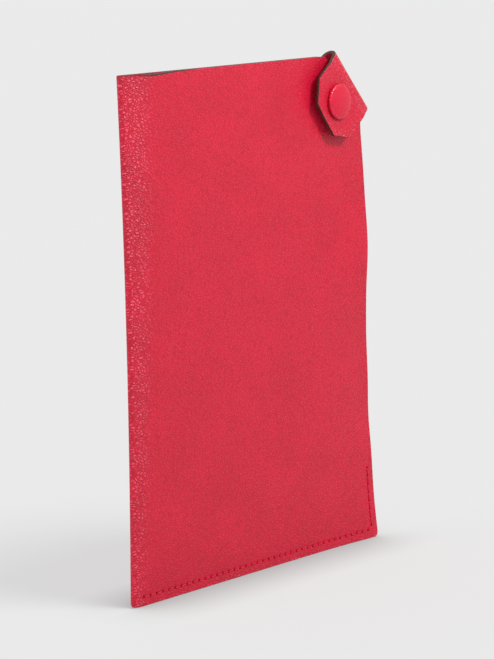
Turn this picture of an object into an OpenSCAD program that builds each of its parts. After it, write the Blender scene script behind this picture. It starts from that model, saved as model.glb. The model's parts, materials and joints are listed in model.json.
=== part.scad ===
// Flat leather phone wallet case, standing upright with its front facing -Y.
// One hide folds at the spine, is sewn in an L along the foot and the lower side, and
// carries a diagonal strap from the back panel over the cut corner to a covered snap.

/* [Case] */
// Height of the case
case_h = 170; // [150:1:190]
// Width from the spine's outside to the free side
case_w = 124; // [110:1:140]
// How much further the panels stand apart at the mouth than at the foot
mouth_gap = 0.8; // [0.6:0.05:1.2]
// Room between the linings at the foot
foot_gap = 0.05; // [0.04:0.01:0.1]
// Radius of the lower free corner
corner_r = 2; // [1:0.5:4]

/* [Leather] */
// Thickness of the outer leather
hide_t = 0.7; // [0.6:0.05:0.8]
// Thickness of the lining leather
lining_t = 0.5; // [0.4:0.05:0.6]
// Thickness of the card pocket's leather
pocket_t = 0.3; // [0.2:0.05:0.35]
// Thickness of the stiffening discs behind the snap
disc_t = 0.2; // [0.15:0.05:0.25]

/* [Strap] */
// Width of the strap
strap_w = 26.4; // [22:0.2:28]
// Distance of the strap's fold from the case's square corner, along the diagonal
fold_inset = 10.7; // [10:0.1:12.5]
// How far the strap sits off the diagonal, towards the free side
fold_shift = 0.9; // [0:0.1:1.5]
// How far the fold is turned from square to the strap, which turns the tab twice as far
fold_turn = 4.25; // [0:0.25:6]
// Length of the tab from its fold to its end
tab_len = 21.8; // [20:0.1:23]
// How far each end corner of the tab is cut back, along and across
tab_cut = 6.1; // [4:0.1:7]
// Room between the front panel and the tab
tab_gap = 1.75; // [1.7:0.05:2]

/* [Snap] */
// Distance of the snap's centre from the fold
snap_inset = 12.3; // [11.5:0.1:13]
// Radius of the covered cap
cap_r = 6.05; // [5.5:0.05:6.4]
// Height of the covered cap above the tab
cap_h = 2; // [1.8:0.1:2.2]
// Radius of the stud's head
head_r = 1.85; // [1.7:0.05:1.9]

/* [Seam] */
// Distance of the seam from the edges
seam_inset = 3; // [2.8:0.1:4]
// Length of one stitch, before it is fitted to the row
stitch_len = 2.9; // [2.6:0.1:3.6]
// Number of stitches up the free side
side_stitches = 7; // [6:1:12]
// Distance from the spine to the first stitch
seam_start = 4.5; // [4.5:0.5:10]
// Radius of the thread
thread_r = 0.25; // [0.2:0.01:0.28]

/* [Pocket] */
// Width of the card pocket
pocket_w = 92; // [88:1:96]
// Height of the card pocket
pocket_h = 58; // [50:1:60]
// Distance of the pocket's top edge below the mouth
pocket_drop = 20; // [18:1:22]
// Radius of the thumb notch
notch_r = 9; // [7:1:12]

/* [Hidden] */
$fn = 64;

hide_red = [0.82, 0.17, 0.26];
lining_red = [0.70, 0.13, 0.20];
thread_red = [0.74, 0.12, 0.20];
nickel = [0.78, 0.77, 0.74];

wall_t = hide_t + lining_t;
foot_t = 2 * wall_t + foot_gap;
tilt = atan(mouth_gap / case_h);
spine_x = -case_w / 2 + (foot_t + mouth_gap) / 2;

// Depth of the front panel's outer face at height y
function front_z(y) = foot_t + y * tan(tilt);

// A point given along and across a direction that is turned by an angle from the x axis
function turned(angle, p) = [
    p.x * cos(angle) - p.y * sin(angle),
    p.x * sin(angle) + p.y * cos(angle)
];

// The strap leaves the corner along root_turn, folds square to bend_turn and lies along tab_turn
root_turn = 45;
bend_turn = root_turn - fold_turn;
tab_turn = bend_turn - fold_turn;
fold_at = [case_w / 2, case_h] + turned(root_turn, [-fold_inset, -fold_shift]);
snap_at = fold_at + turned(tab_turn, [-snap_inset, 0]);

face_z = front_z(snap_at.y);
tab_z = face_z + tab_gap;
cap_z = tab_z + wall_t;
depth = cap_z + cap_h;

// The bend's mean radius, its centre, the two hinge lines in its thickness, and where the
// flat pieces stop beside it
bend_r = tab_z / 2;
bend_z = bend_r + wall_t / 2;
bend_x = -bend_r - wall_t / 2;
hinge_off = bend_r * PI / 4;
hinge_x = bend_x + hinge_off;
bead_r = wall_t / 2;
bead_room = 0.1;
plate_end = hinge_x - bead_r - bead_room;
front_room = 0.5;
front_end = bend_x - front_room;

// The box of the whole case is centred on the origin
fold_reach = fold_at.x + strap_w / 2 * sin(bend_turn) - case_w / 2;
x_mid = fold_reach / 2;

// The needle holes run along the foot, take the corner in one slanting stitch, and then run
// up the free side
seam_turn = [2, 1.4];
seam_x0 = -case_w / 2 + seam_start;
seam_x1 = case_w / 2 - seam_inset;
seam_y1 = seam_inset + seam_turn.y;
foot_end = seam_x1 - seam_turn.x;
foot_stitches = round((foot_end - seam_x0) / stitch_len);
pitch = (foot_end - seam_x0) / foot_stitches;
hole_room = 0.07;
hole_r = thread_r + hole_room;
groove_w = 0.7;
groove_t = 0.5;
thread_sunk = 0.02;
thread_in = thread_r + thread_sunk;
thread_gap = 0.05;
holes = concat(
    [for (i = [0 : foot_stitches]) [seam_x0 + i * pitch, seam_inset]],
    [for (i = [0 : side_stitches]) [seam_x1, seam_y1 + i * pitch]]
);

// The card pocket's middle lies this far towards the spine
pocket_shift = 2;

// The snap's parts, along its axis. A flange or a lip is given as its radius and thickness,
// and the stud's widest band as shares of its head's height.
metal_room = 0.05;
rivet_r = 1.1;
rivet_bore = 0.8;
rivet_top = 1.1;
rivet_flange = [3.2, 0.25];
leather_hole_r = 1.3;
stud_flange = [4.2, 0.3];
neck_r = 1.5;
neck_h = 0.46;
head_h = 0.55;
head_band = [0.3, 0.6];
head_round = 0.3;
stud_bore = rivet_r + metal_room;
disc_r = 6;
disc_room = 0.05;
socket_r = 3.6;
socket_flange = [5, 0.15];
socket_h = 1.2;
socket_flare = 0.15;
cavity_r = 2.45;
spring_ring_r = 2.75;
spring_wire_r = 0.18;
spring_drop = 0.68;
spring_room = 0.05;
spring_split = 24;
post_r = 1.2;
post_bore = 0.9;
post_lip = [1.9, 0.12];
shell_r = 5.4;
shell_t = 0.3;
shell_h = 1.35;
shell_rim = 0.35;
cover_foot_r = 5.75;
cover_rim = 0.3;
cover_room = 0.01;

// How far a cut passes beyond what it cuts
over = 1;

// Stands a piece up: its x stays, its y becomes up, and its z becomes the depth from the back
module stand() {
    translate([-x_mid, depth / 2, 0])
        rotate([90, 0, 0])
            children();
}

// Puts a piece in the fold's frame, x square to the fold and 0 at its outside, y along it
module on_fold(angle = bend_turn) {
    translate([fold_at.x, fold_at.y, 0])
        rotate([0, 0, angle])
            children();
}

// Puts a piece on the tab's half of the snap, z still the depth from the back
module on_snap() {
    stand()
        translate([snap_at.x, snap_at.y, 0])
            children();
}

module slice(z0, t) {
    translate([0, 0, z0])
        linear_extrude(t)
            children();
}

// Leans a piece as the front panel leans, z = 0 on the front lining's inner face
module lean() {
    translate([0, 0, wall_t + foot_gap])
        rotate([tilt, 0, 0])
            children();
}

// Puts a piece on the panel's half of the snap, z = 0 on the front lining's inner face
module on_front() {
    stand()
        lean()
            translate([snap_at.x, snap_at.y, 0])
                children();
}

module case_height() {
    intersection() {
        children();
        translate([-case_w, 0, -case_w])
            cube([2 * case_w, case_h, 2 * case_w]);
    }
}

// Rounds the lower free corner of an outline
module round_foot() {
    difference() {
        children();
        translate([case_w / 2 - corner_r, 0])
            difference() {
                translate([0, -corner_r])
                    square([2 * corner_r, 2 * corner_r]);
                translate([0, corner_r])
                    circle(corner_r);
            }
    }
}

// What lies on the case's side of a line parallel to the fold
module before_fold(x) {
    reach = 2 * case_h;
    intersection() {
        children();
        on_fold()
            translate([x - reach, -reach / 2])
                square([reach, reach]);
    }
}

module front_outline() {
    round_foot()
        before_fold(front_end)
            translate([spine_x, -over])
                square([case_w / 2 - spine_x, case_h + 2 * over]);
}

module back_outline() {
    root_len = 2 * fold_inset;
    round_foot()
        before_fold(plate_end) {
            translate([spine_x, 0])
                square([case_w / 2 - spine_x, case_h]);
            on_fold(root_turn)
                translate([-root_len, -strap_w / 2])
                    square([root_len, strap_w]);
        }
}

module tab_outline() {
    before_fold(plate_end)
        on_fold(tab_turn)
            polygon([
                [0, -strap_w / 2],
                [0, strap_w / 2],
                [tab_cut - tab_len, strap_w / 2],
                [-tab_len, strap_w / 2 - tab_cut],
                [-tab_len, tab_cut - strap_w / 2],
                [tab_cut - tab_len, -strap_w / 2]
            ]);
}

module needle_holes() {
    for (p = holes)
        translate([p.x, p.y, -over])
            cylinder(h = foot_t + 2 * over, r = hole_r, $fn = 24);
}

// The pressed line that the stitches lie in, cut from z = 0 downwards to groove_t
module groove() {
    turns = [
        [seam_x0, seam_inset], [foot_end, seam_inset],
        [seam_x1, seam_y1], [seam_x1, seam_y1 + side_stitches * pitch]
    ];
    for (i = [0 : len(turns) - 2]) {
        run = turns[i + 1] - turns[i];
        translate([turns[i].x, turns[i].y, -groove_t])
            rotate([0, 0, atan2(run.y, run.x)])
                translate([-groove_w / 2, -groove_w / 2, 0])
                    cube([norm(run) + groove_w, groove_w, groove_t + over]);
    }
}

// The rising half of a dome's profile, from its rim at height z + h * rim to its crown at z + h
function dome(r, z, h, rim, steps = 8) = [
    for (i = [0 : steps])
        [r * cos(i * 90 / steps), z + h * (rim + (1 - rim) * sin(i * 90 / steps))]
];

function reversed(points) = [for (i = [len(points) - 1 : -1 : 0]) points[i]];

module post_hole() {
    translate([0, 0, -over])
        cylinder(h = depth, r = leather_hole_r);
}

module stiffening_disc() {
    difference() {
        cylinder(h = disc_t, r = disc_r);
        post_hole();
    }
}

// Half of a slightly conical tube that joins the leaning front to the upright back
module spine_shell(outside, inside) {
    lean_r = tan(tilt / 2);
    module cone(r) {
        rotate([-90, 0, 0])
            cylinder(h = case_h + over, r1 = r, r2 = r + (case_h + over) * lean_r);
    }
    stand()
        intersection() {
            translate([spine_x, 0, foot_t / 2])
                rotate([tilt / 2, 0, 0])
                    difference() {
                        cone(outside);
                        cone(inside);
                    }
            translate([spine_x - case_w, 0, -case_w])
                cube([case_w, case_h, 2 * case_w]);
        }
}

module front_panel() {
    color(hide_red)
        difference() {
            stand()
                case_height()
                    lean()
                        slice(lining_t, hide_t)
                            front_outline();
            stand()
                needle_holes();
            stand()
                lean()
                    translate([0, 0, wall_t])
                        groove();
            on_front()
                post_hole();
        }
}

module spine_fold() {
    color(hide_red)
        spine_shell(foot_t / 2, foot_t / 2 - hide_t);
}

module back_panel() {
    color(hide_red)
        stand()
            difference() {
                slice(0, hide_t)
                    back_outline();
                needle_holes();
                mirror([0, 0, 1])
                    groove();
            }
}

module front_lining() {
    color(lining_red)
        difference() {
            stand()
                case_height()
                    lean()
                        slice(0, lining_t)
                            front_outline();
            stand()
                needle_holes();
            on_front() {
                post_hole();
                translate([0, 0, lining_t - disc_t])
                    cylinder(h = wall_t, r = disc_r + disc_room);
            }
        }
}

module spine_lining() {
    color(lining_red)
        spine_shell(foot_t / 2 - hide_t, foot_gap / 2);
}

module back_lining() {
    color(lining_red)
        stand()
            difference() {
                slice(hide_t, lining_t)
                    back_outline();
                needle_holes();
            }
}

// An open-topped slip pocket on the back lining, with a notch for the thumb
module card_pocket() {
    top = case_h - pocket_drop;
    color(lining_red)
        stand()
            slice(wall_t, pocket_t)
                difference() {
                    translate([-pocket_w / 2 - pocket_shift, top - pocket_h])
                        square([pocket_w, pocket_h]);
                    translate([-pocket_shift, top])
                        circle(notch_r);
                }
}

// One stitch: a leg down its needle hole and a run along to the next hole
module stitch(from, to, run_z, leg_z) {
    run = to - from;
    angle = atan2(run.y, run.x);
    run_len = norm(run) - thread_r - thread_gap;
    translate([from.x, from.y, 0]) {
        translate([0, 0, min(run_z, leg_z)])
            cylinder(h = abs(run_z - leg_z), r = thread_r, $fn = 16);
        translate([0, 0, run_z])
            sphere(thread_r, $fn = 16);
        translate([0, 0, run_z])
            rotate([0, 90, angle])
                cylinder(h = run_len, r = thread_r, $fn = 16);
    }
}

module top_thread() {
    color(thread_red)
        stand()
            for (i = [0 : len(holes) - 2])
                stitch(holes[i], holes[i + 1], front_z(holes[i].y) - thread_in, foot_t / 2 + thread_gap);
}

module bobbin_thread() {
    color(thread_red)
        stand()
            for (i = [0 : len(holes) - 2])
                stitch(holes[i], holes[i + 1], thread_in, foot_t / 2 - thread_gap);
}

module stud_disc() {
    color(lining_red)
        on_front()
            translate([0, 0, lining_t - disc_t])
                stiffening_disc();
}

module snap_stud() {
    base = wall_t;
    neck_z = base + stud_flange[1];
    head_z = neck_z + neck_h;
    color(nickel)
        on_front()
            rotate_extrude()
                polygon([
                    [stud_bore, base],
                    [stud_flange[0], base],
                    [stud_flange[0], neck_z - stud_flange[1] / 2],
                    [stud_flange[0] - stud_flange[1] / 2, neck_z],
                    [neck_r, neck_z],
                    [neck_r, head_z],
                    [head_r, head_z + head_h * head_band[0]],
                    [head_r, head_z + head_h * head_band[1]],
                    [head_r - head_round, head_z + head_h],
                    [stud_bore, head_z + head_h]
                ]);
}

module stud_rivet() {
    top = wall_t + rivet_top;
    color(nickel)
        on_front()
            rotate_extrude()
                polygon([
                    [rivet_bore, -rivet_flange[1]],
                    [rivet_flange[0], -rivet_flange[1]],
                    [rivet_flange[0], 0],
                    [rivet_r, 0],
                    [rivet_r, top],
                    [rivet_bore, top]
                ]);
}

// The middle half of the bend, with a round bead on each hinge line
module strap_bend() {
    reach = 2 * bend_r;
    color(hide_red)
        stand()
            on_fold()
                translate([bend_x, strap_w / 2, bend_z])
                    rotate([90, 0, 0])
                        linear_extrude(strap_w) {
                            intersection() {
                                difference() {
                                    circle(bend_r + wall_t / 2);
                                    circle(bend_r - wall_t / 2);
                                }
                                polygon([[0, 0], [reach, -reach], [reach, reach]]);
                            }
                            for (side = [-1, 1])
                                translate([hinge_off, side * hinge_off])
                                    circle(bead_r, $fn = 32);
                        }
}

module strap_tab() {
    color(hide_red)
        difference() {
            stand()
                slice(tab_z + lining_t, hide_t)
                    tab_outline();
            on_snap()
                post_hole();
        }
}

module tab_lining() {
    color(lining_red)
        difference() {
            stand()
                slice(tab_z, lining_t)
                    tab_outline();
            on_snap() {
                post_hole();
                translate([0, 0, tab_z + lining_t - disc_t])
                    cylinder(h = wall_t, r = disc_r + disc_room);
            }
        }
}

module tab_disc() {
    color(lining_red)
        on_snap()
            translate([0, 0, tab_z + lining_t - disc_t])
                stiffening_disc();
}

module snap_socket() {
    mouth = tab_z - socket_h;
    roof = tab_z - socket_flange[1];
    spring_z = tab_z - spring_drop;
    slot_r = spring_ring_r + spring_wire_r + spring_room;
    slot_h = spring_wire_r + spring_room;
    color(nickel)
        on_snap()
            rotate_extrude()
                polygon([
                    [cavity_r + socket_flare, mouth],
                    [socket_r, mouth],
                    [socket_r, roof],
                    [socket_flange[0], roof],
                    [socket_flange[0], tab_z],
                    [post_r + metal_room, tab_z],
                    [post_r + metal_room, roof],
                    [cavity_r, roof],
                    [cavity_r, spring_z + slot_h],
                    [slot_r, spring_z + slot_h],
                    [slot_r, spring_z - slot_h],
                    [cavity_r, spring_z - slot_h],
                    [cavity_r, mouth + socket_flare]
                ]);
}

// The split ring that grips the stud, relaxed in its groove
module socket_spring() {
    color(nickel)
        on_snap()
            translate([0, 0, tab_z - spring_drop])
                rotate([0, 0, spring_split / 2])
                    rotate_extrude(angle = 360 - spring_split)
                        translate([spring_ring_r, 0])
                            circle(spring_wire_r, $fn = 24);
}

// The metal dome under the cover, with the tubular post that clenches the socket
module cap_shell() {
    lip_z = tab_z - socket_flange[1] - post_lip[1];
    inner_r = shell_r - shell_t;
    floor_z = cap_z + shell_t;
    crown = dome(shell_r, cap_z, shell_h, shell_rim);
    hollow = dome(inner_r, floor_z, shell_h - 2 * shell_t, shell_rim);
    color(nickel)
        on_snap() {
            rotate_extrude()
                polygon(concat(
                    [[shell_r, cap_z]],
                    crown,
                    reversed(hollow),
                    [[inner_r, floor_z], [post_r, floor_z], [post_r, cap_z]]
                ));
            rotate_extrude()
                polygon([
                    [post_bore, lip_z],
                    [post_lip[0], lip_z],
                    [post_lip[0], lip_z + post_lip[1]],
                    [post_r, lip_z + post_lip[1]],
                    [post_r, floor_z],
                    [post_bore, floor_z]
                ]);
        }
}

// The leather drawn over the dome and tucked in under its rim
module cap_cover() {
    hollow_r = shell_r + cover_room;
    crown = dome(cap_r, cap_z, cap_h, cover_rim);
    hollow = dome(hollow_r, cap_z + cover_room, shell_h, shell_rim);
    color(hide_red)
        on_snap()
            rotate_extrude()
                polygon(concat(
                    [[cover_foot_r, cap_z]],
                    crown,
                    reversed(hollow),
                    [[hollow_r, cap_z]]
                ));
}

front_panel();
spine_fold();
back_panel();
front_lining();
spine_lining();
back_lining();
card_pocket();
top_thread();
bobbin_thread();
stud_disc();
snap_stud();
stud_rivet();
strap_bend();
strap_tab();
tab_lining();
tab_disc();
snap_socket();
socket_spring();
cap_shell();
cap_cover();
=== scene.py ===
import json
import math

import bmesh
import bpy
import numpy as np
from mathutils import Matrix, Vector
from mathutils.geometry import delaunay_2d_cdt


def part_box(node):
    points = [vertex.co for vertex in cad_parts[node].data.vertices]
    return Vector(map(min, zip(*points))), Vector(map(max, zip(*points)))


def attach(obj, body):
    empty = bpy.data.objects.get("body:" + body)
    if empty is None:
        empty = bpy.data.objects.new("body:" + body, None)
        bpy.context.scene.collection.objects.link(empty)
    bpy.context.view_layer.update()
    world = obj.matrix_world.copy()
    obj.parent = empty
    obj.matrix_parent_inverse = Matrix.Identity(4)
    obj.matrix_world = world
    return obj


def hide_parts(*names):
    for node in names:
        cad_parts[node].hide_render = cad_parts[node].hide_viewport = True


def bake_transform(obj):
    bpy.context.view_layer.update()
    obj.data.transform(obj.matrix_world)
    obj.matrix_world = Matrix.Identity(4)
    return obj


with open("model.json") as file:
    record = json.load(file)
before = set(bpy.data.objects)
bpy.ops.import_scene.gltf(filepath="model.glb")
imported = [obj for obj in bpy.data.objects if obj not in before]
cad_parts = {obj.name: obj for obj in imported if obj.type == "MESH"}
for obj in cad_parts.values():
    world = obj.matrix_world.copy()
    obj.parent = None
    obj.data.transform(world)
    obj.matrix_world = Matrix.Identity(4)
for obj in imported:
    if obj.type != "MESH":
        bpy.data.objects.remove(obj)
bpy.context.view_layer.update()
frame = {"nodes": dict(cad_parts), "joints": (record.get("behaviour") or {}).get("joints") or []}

# The looks of a flat leather case with a diagonal snap strap, built round its CAD frame.
#
# The leather is laid out flat first, as it is cut, and then wrapped: each sheet is a
# triangulated outline with its needle and post holes, and a function places every flat
# point in space. Lengths are in millimetres until a mesh is made. A placed point has x
# from the spine to the free side, y up, and z forward from the back face. The third flat
# coordinate, w, runs from the lining's face (-HALF_WALL) to the leather's face (HALF_WALL).

MM = 0.001

# -------------------- sizes of the leather
CASE_W = 124
HIDE_T = 0.7
LINING_T = 0.5
HALF_WALL = (HIDE_T + LINING_T) / 2
GLUE_W = HALF_WALL - HIDE_T  # the plane where leather and lining meet
FOOT_T = 2.45  # thickness of the closed case at its foot
FREE_X = CASE_W / 2
FOOT_CORNER_R = 2
CUT_BACK = 0.5  # the front's cut corner starts this far before the bend

# -------------------- the strap
STRAP_W = 26.4
TAB_LEN = 21.8  # from the bend's outside to the tab's end
TAB_CUT = 6.1  # the legs of the tab's two cut corners
TAB_CORNER_R = 0.7
FOLD_TURN = math.radians(4.25)  # how far the strap leans off square to its fold

# -------------------- the seam
SEAM_IN = 3  # how far in from the edges it runs
SEAM_START = 4.5  # its first hole, from the spine's side
SEAM_TURN = (2, 1.4)  # the corner's slanting stitch
STITCHES_FOOT = 39
STITCHES_SIDE = 7
NEEDLE_R = 0.44  # a hole, with the leather that the thread draws in
HOLE_SIDES = 12
THREAD_R = 0.21

# -------------------- the snap's seats
POST_HOLE_R = 1.3
POST_SIDES = 40
DISC_R = 6.05  # the recesses in the lining for the stiffening discs
DISC_T = 0.2


# -------------------- places, from the frame
def joint(name):
    return next(j for j in frame["joints"] if j["name"] == name)


ORIGIN_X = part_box("front_panel")[1].x / MM - FREE_X
BACK_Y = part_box("back_panel")[1].y / MM
CASE_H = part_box("front_panel")[1].z / MM
MOUTH_T = BACK_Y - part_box("front_panel")[0].y / MM
TAB_FACE = BACK_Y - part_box("strap_tab")[0].y / MM


def middle(node):
    low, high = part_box(node)
    return np.array([(low.x + high.x) / 2 / MM - ORIGIN_X, (low.z + high.z) / 2 / MM])


SNAP = middle("cap_cover")
HINGES = [np.array(joint(name)["pos_m"]) / MM for name in ("strap_root_fold", "tab_fold")]
FOLD_AXIS = np.array(joint("strap_root_fold")["axis"])
ALONG_FOLD = FOLD_AXIS[[0, 2]]
ACROSS_FOLD = np.array([ALONG_FOLD[1], -ALONG_FOLD[0]])
HINGE_OFF = (HINGES[0][1] - HINGES[1][1]) / 2
BEND_R = HINGE_OFF * 4 / math.pi
BEND_Z = BACK_Y - (HINGES[0][1] + HINGES[1][1]) / 2
BEND_AT = HINGES[0][[0, 2]] - [ORIGIN_X, 0] - ACROSS_FOLD * HINGE_OFF
QUARTER = BEND_R * math.pi / 2  # from the apex of the bend to either end of it
# The snap in the strap's own p and q
SNAP_FLAT = np.array([QUARTER - float((SNAP - BEND_AT) @ ACROSS_FOLD),
                      float((SNAP - BEND_AT) @ ALONG_FOLD)])


def to_frame(x, y, z):
    return np.stack([(x + ORIGIN_X) * MM, (BACK_Y - z) * MM, y * MM], axis=-1)


def smooth(t):
    t = np.clip(t, 0, 1)
    return t * t * (3 - 2 * t)


def rising(ends, up):
    """A value that goes evenly from the first of its ends at the foot to the second at the
    mouth. up is 0 to 1."""
    return ends[0] + (ends[1] - ends[0]) * up


# ==================== how the case has settled
TWIST = 4.8  # how far opposite corners stand off the flat, together
BOW = 1.4  # how far the spine draws in at half height
# Height and forward reach of the crests and hollows along the free edge
WAVE = [(0, 1.6), (14, 0.4), (31, -0.25), (44, -0.95), (57, -0.7), (72, -0.75), (86, -0.2),
        (104, 1.15), (120, 0.6), (134, 0.05), (143, -0.4), (158, 0)]
WAVE_REACH = 15  # how far in from the free edge the waves fade
WAVE_FADE = 1.5  # and how steeply
# The snap keeps the front, and the strap's root the back, where the CAD has them inside the
# first radius. Past the second they are free.
FRONT_CALM_R = (8, 16)
BACK_CALM_R = (17, 29)


def through(points, t):
    """A smooth curve through a few (place, value) points."""
    places, values = (np.array(c, float) for c in zip(*points))
    slopes = np.gradient(values, places)
    i = np.clip(np.searchsorted(places, t) - 1, 0, len(places) - 2)
    span = places[i + 1] - places[i]
    u = np.clip((t - places[i]) / span, 0, 1)
    rise = (values[i + 1] - values[i]) * u * u * (3 - 2 * u)
    return values[i] + rise + span * u * (1 - u) * (slopes[i] * (1 - u) - slopes[i + 1] * u)


def settle(x, y, z, front):
    """Moves a point of the straight case to where the used, slightly warped case has it."""
    calm, free = (np.where(front, a, b) for a, b in zip(FRONT_CALM_R, BACK_CALM_R))
    loose = smooth((np.hypot(x - SNAP[0], y - SNAP[1]) - calm) / (free - calm))
    up = y / CASE_H
    twist = -TWIST * (x - SNAP[0]) / CASE_W * (y - SNAP[1]) / CASE_H
    inward = FREE_X - np.minimum(x, FREE_X)
    wave = through(WAVE, y) * np.exp(-(inward / WAVE_REACH) ** WAVE_FADE)
    bow = BOW * 4 * up * (1 - up) * (0.5 - x / CASE_W)
    return x + loose * bow, y, z + loose * (twist + wave)


# ==================== wrapping the flat leather
HALF_ROLL = 1.3  # half of the flat width that goes round the spine
PANEL = 122.4  # flat width of a panel from the spine's roll on
SPINE_OUT = (-61.95, -61.9)  # the spine's outside, at the foot and at the mouth
FRONT_SLOPE = (6, 14)  # the front's slope where it leaves the roll, in degrees
SLOPE_FADE = (3, 5.8)  # how far in that slope fades
BULGE = 0.6  # how much fuller the mouth is beside the spine
BULGE_REACH = 45
INNER_R = 0.03  # what the fold leaves open inside the lining


def spine_roll(y):
    """The roll at height y: its outer radius, its centre's x, where the front panel takes
    over, the front's slope there, and how far in from there that slope fades."""
    up = y / CASE_H
    slope = np.radians(rising(FRONT_SLOPE, up))
    fade = rising(SLOPE_FADE, up)
    full = rising((FOOT_T, MOUTH_T), up) + BULGE * up
    r = (full - fade * np.tan(slope)) / (1 + np.cos(slope))
    centre = rising(SPINE_OUT, up) + r
    return r, centre, centre - r * np.sin(slope), slope, fade


FOOT_CORNER = 1.6  # the folded leather's corners at the spine are rounded
MOUTH_CORNER = 0.6


def round_spine(x, y):
    """Draws the spine's lower and upper corners in."""
    out = rising(SPINE_OUT, y / CASE_H)
    for corner, gap in ((FOOT_CORNER, y), (MOUTH_CORNER, CASE_H - y)):
        t = np.clip(1 - gap / corner, 0, 1)
        shift = corner * (1 - np.sqrt(1 - t * t))
        x = np.maximum(x, out + shift + (x - out) * (1 - shift / (3 * corner)))
    return x


def wrap_case(s, y, w):
    """Places a flat point of the case. s runs from the middle of the spine, negative over
    the front and positive over the back."""
    r, centre, start, slope, fade = spine_roll(y)
    up = y / CASE_H
    far = np.clip(np.abs(s) - HALF_ROLL, 0, None) / PANEL

    # the front panel
    d = far * (FREE_X - start)
    dip = fade * np.tan(slope) * np.exp(-d / fade)
    bulge = BULGE * up * np.exp(-((d / BULGE_REACH) ** 2))
    face = rising((FOOT_T, MOUTH_T), up) + bulge - dip
    lean = np.arctan(dip / fade)
    depth = HALF_WALL - w
    parting = FOOT_T / 2 + (r - FOOT_T / 2) * np.exp(-d / fade)
    front_x = start + d + depth * np.sin(lean)
    front_z = np.maximum(face - depth * np.cos(lean), parting + INNER_R)

    # the back panel
    back_x = centre + far * (FREE_X - centre)
    on_lining = np.maximum(depth - 2 * HALF_WALL, 0)  # what lies on the lining, inside
    back_z = np.minimum(depth, parting - INNER_R + on_lining)

    # the roll between them
    turn = -(np.pi / 2 - slope) + (s / HALF_ROLL + 1) / 2 * (np.pi - slope)
    reach = np.maximum(r - depth, INNER_R)
    roll_x = centre - reach * np.cos(turn)
    roll_z = r - reach * np.sin(turn)

    on_front, on_back = s < -HALF_ROLL, s > HALF_ROLL
    x = np.where(on_front, front_x, np.where(on_back, back_x, roll_x))
    z = np.where(on_front, front_z, np.where(on_back, back_z, roll_z))
    return to_frame(*settle(round_spine(x, y), y, z, s < 0))


def flat_front(x, y):
    """The flat s of the front panel's point at x and height y."""
    start = spine_roll(y)[2]
    return -(HALF_ROLL + (x - start) / (FREE_X - start) * PANEL)


def flat_back(x, y):
    """The flat s of the back panel's point at x and height y."""
    centre = spine_roll(y)[1]
    return HALF_ROLL + (x - centre) / (FREE_X - centre) * PANEL


TAB_LIFT = 0.6  # how far the tab stands off away from its snap
TAB_FLAT_R = 5.5  # the snap keeps it flat this far out
TAB_LIFT_R = 13.5  # and it stands off in full from here on
TAB_LIFT_RUN = 3.5  # it starts to stand off over this length past the bend


def wrap_strap(p, q, w):
    """Places a flat point of the strap. p runs along it from the apex of its bend, negative
    towards the root, and q along the fold."""
    turn = np.clip(p, -QUARTER, QUARTER) / BEND_R
    past = np.maximum(np.abs(p) - QUARTER, 0)
    across = (BEND_R + w) * np.cos(turn) - past
    out = np.hypot(p - SNAP_FLAT[0], q - SNAP_FLAT[1])
    lift = TAB_LIFT * smooth((out - TAB_FLAT_R) / (TAB_LIFT_R - TAB_FLAT_R))
    z = BEND_Z + (BEND_R + w) * np.sin(turn) + lift * smooth((p - QUARTER) / TAB_LIFT_RUN)
    x = BEND_AT[0] + across * ACROSS_FOLD[0] + q * ALONG_FOLD[0]
    y = BEND_AT[1] + across * ACROSS_FOLD[1] + q * ALONG_FOLD[1]
    return to_frame(x, y, z)


# ==================== outlines
CHORD = 0.3  # the steps round a rounded corner


def rounded(corners):
    """A path through corners given as (x, y, radius), each rounded by its radius."""
    path = []
    for i, (x, y, r) in enumerate(corners):
        corner = np.array([x, y], float)
        if r == 0:
            path.append(corner)
            continue
        before, after = (np.array(corners[(i + k) % len(corners)][:2], float) for k in (-1, 1))
        a = (before - corner) / np.linalg.norm(before - corner)
        b = (after - corner) / np.linalg.norm(after - corner)
        half = math.acos(float(np.clip(a @ b, -1, 1))) / 2
        centre = corner + (a + b) / np.linalg.norm(a + b) * r / math.sin(half)
        first, last = corner + a * r / math.tan(half), corner + b * r / math.tan(half)
        steps = max(3, math.ceil(r * (math.pi - 2 * half) / CHORD))
        for k in range(steps + 1):
            p = first + (last - first) * k / steps - centre
            path.append(centre + p / np.linalg.norm(p) * r)
    return path


def stepped(path, step):
    """The same path with its long stretches divided."""
    made = [path[0]]
    for a, b in zip(path, path[1:]):
        n = max(1, round(np.linalg.norm(b - a) / step))
        made += [a + (b - a) * k / n for k in range(1, n + 1)]
    return np.array(made)


def fold_point(across, along):
    """A point of the case's flat plane given in the fold's own directions."""
    return BEND_AT + across * ACROSS_FOLD + along * ALONG_FOLD


def strap_side(p, side):
    """Where the strap's long edge is along the fold, at p. side is 1 for its upper edge."""
    skew = math.tan(FOLD_TURN)
    reach = BEND_R + HALF_WALL
    edge = STRAP_W / 2 / math.cos(FOLD_TURN)
    at_end = edge + side * math.copysign(reach * skew, p)
    if abs(p) <= QUARTER:
        return side * (edge + (at_end - edge) * abs(p) / QUARTER)
    return side * at_end + math.copysign((abs(p) - QUARTER) * skew, p)


CUT_STEPS = 26  # across the strap


def cut_line(p):
    """The points across the strap at p, where one piece ends and the next begins."""
    low, high = strap_side(p, -1), strap_side(p, 1)
    return np.array([[p, low + (high - low) * k / CUT_STEPS] for k in range(CUT_STEPS + 1)])


MOUTH_DIP = 0.4  # the front's top edge dips a little beside the spine
DIP_AT = -14  # at this s
DIP_REACH = 7
ROOT_R = 1.5  # where the strap's root runs into the case's edges
CUT_R = (4, 6)  # the front's cut corner, at the free side and the mouth
EDGE_STEP = 1
PAINT_T = 0.07  # the paint's dome, which makes up the nominal outline


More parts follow.
